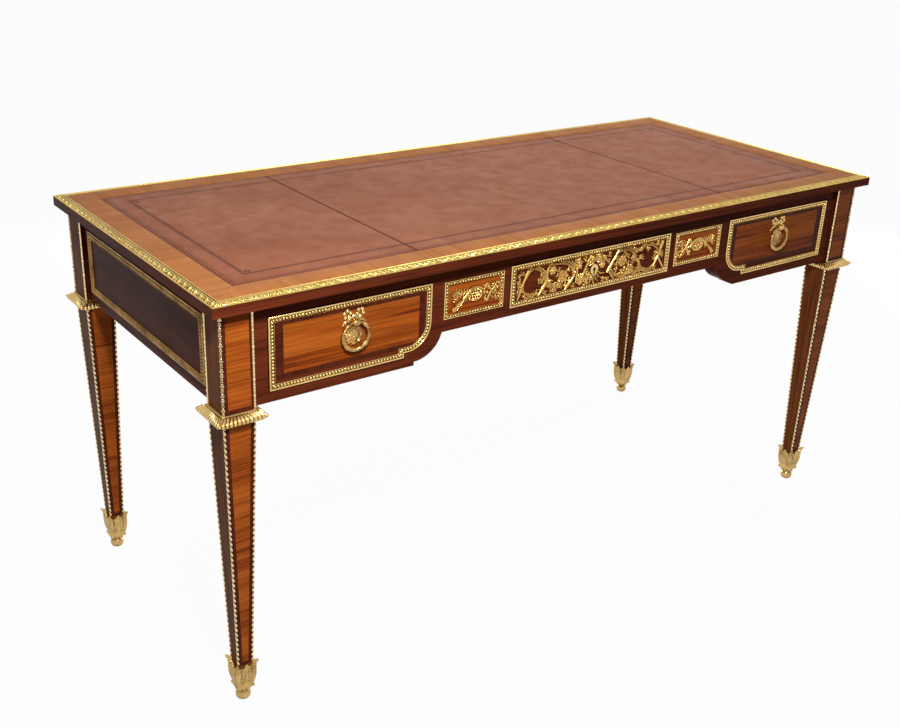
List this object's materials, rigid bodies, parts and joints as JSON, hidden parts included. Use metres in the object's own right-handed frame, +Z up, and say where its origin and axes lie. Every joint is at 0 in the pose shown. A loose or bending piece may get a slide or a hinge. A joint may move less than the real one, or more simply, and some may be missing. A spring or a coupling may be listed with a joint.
{
  "type": "writing table",
  "caption": "Flat-topped writing table with an inset leather top, frieze drawers with ring pulls, a kneehole and square tapering legs in bronze mounts.",
  "frame": {"origin": "on the floor, at the centre of the table's footprint", "axes": "+X along the length, to the right when facing the front; front faces -Y; +Z up"},
  "size_m": [1.613, 0.696, 0.785],
  "materials": {
    "mahogany": "polished dark mahogany",
    "tulipwood": "polished tulipwood and kingwood veneer",
    "tan_veneer": "polished crossbanded veneer",
    "oak": "bare oak",
    "leather": "polished tooled leather",
    "gilt_bronze": "gilded, chased",
    "steel": "plain steel"
  },
  "bodies": {
    "table": {"top_board": "mahogany", "top_banding": "tan_veneer", "leather_left": "leather", "leather_centre": "leather", "leather_right": "leather", "top_edge_moulding": "gilt_bronze", "leg_front_left": "tulipwood", "leg_front_right": "tulipwood", "leg_back_left": "tulipwood", "leg_back_right": "tulipwood", "collar_front_left": "gilt_bronze", "collar_front_right": "gilt_bronze", "collar_back_left": "gilt_bronze", "collar_back_right": "gilt_bronze", "sabot_front_left": "gilt_bronze", "sabot_front_right": "gilt_bronze", "sabot_back_left": "gilt_bronze", "sabot_back_right": "gilt_bronze", "leg_edge_strips": "gilt_bronze", "front_apron": "mahogany", "back_apron": "mahogany", "end_apron_left": "mahogany", "end_apron_right": "mahogany", "end_frame_left": "gilt_bronze", "end_frame_right": "gilt_bronze", "back_frames": "gilt_bronze", "small_frames": "gilt_bronze", "small_mounts": "gilt_bronze", "partition_left": "oak", "partition_right": "oak", "drawer_runners": "oak", "drawer_kickers": "oak", "corner_blocks": "oak", "top_screws": "steel"},
    "drawer_left": {"drawer_front_left": "tulipwood", "drawer_sides_left": "oak", "drawer_back_left": "oak", "drawer_bottom_left": "oak", "drawer_frame_left": "gilt_bronze", "pull_plate_left": "gilt_bronze", "pull_nut_left": "steel"},
    "drawer_right": {"drawer_front_right": "tulipwood", "drawer_sides_right": "oak", "drawer_back_right": "oak", "drawer_bottom_right": "oak", "drawer_frame_right": "gilt_bronze", "pull_plate_right": "gilt_bronze", "pull_nut_right": "steel"},
    "drawer_centre": {"drawer_front_centre": "tulipwood", "drawer_sides_centre": "oak", "drawer_back_centre": "oak", "drawer_bottom_centre": "oak", "drawer_frame_centre": "gilt_bronze", "centre_mount": "gilt_bronze", "keyhole_plate": "gilt_bronze", "lock_case": "steel"},
    "ring_left": {"pull_ring_left": "gilt_bronze"},
    "ring_right": {"pull_ring_right": "gilt_bronze"},
    "bolt": {"lock_bolt": "steel"}
  },
  "joints": [
    {"name": "left_drawer_slide", "type": "slide", "parent": "table", "child": "drawer_left", "axis": [0, -1, 0], "range_m": [0, 0.33]},
    {"name": "centre_drawer_slide", "type": "slide", "parent": "table", "child": "drawer_centre", "axis": [0, -1, 0], "range_m": [0, 0.33]},
    {"name": "right_drawer_slide", "type": "slide", "parent": "table", "child": "drawer_right", "axis": [0, -1, 0], "range_m": [0, 0.33]},
    {"name": "left_ring_swing", "type": "hinge", "parent": "drawer_left", "child": "ring_left", "pos_m": [-0.5405, -0.3285, 0.698], "axis": [-1, 0, 0], "range_deg": [0, 85]},
    {"name": "right_ring_swing", "type": "hinge", "parent": "drawer_right", "child": "ring_right", "pos_m": [0.5405, -0.3285, 0.698], "axis": [-1, 0, 0], "range_deg": [0, 85]},
    {"name": "lock_bolt_throw", "type": "slide", "parent": "drawer_centre", "child": "bolt", "axis": [0, 0, 1], "range_m": [0, 0.008]}
  ]
}
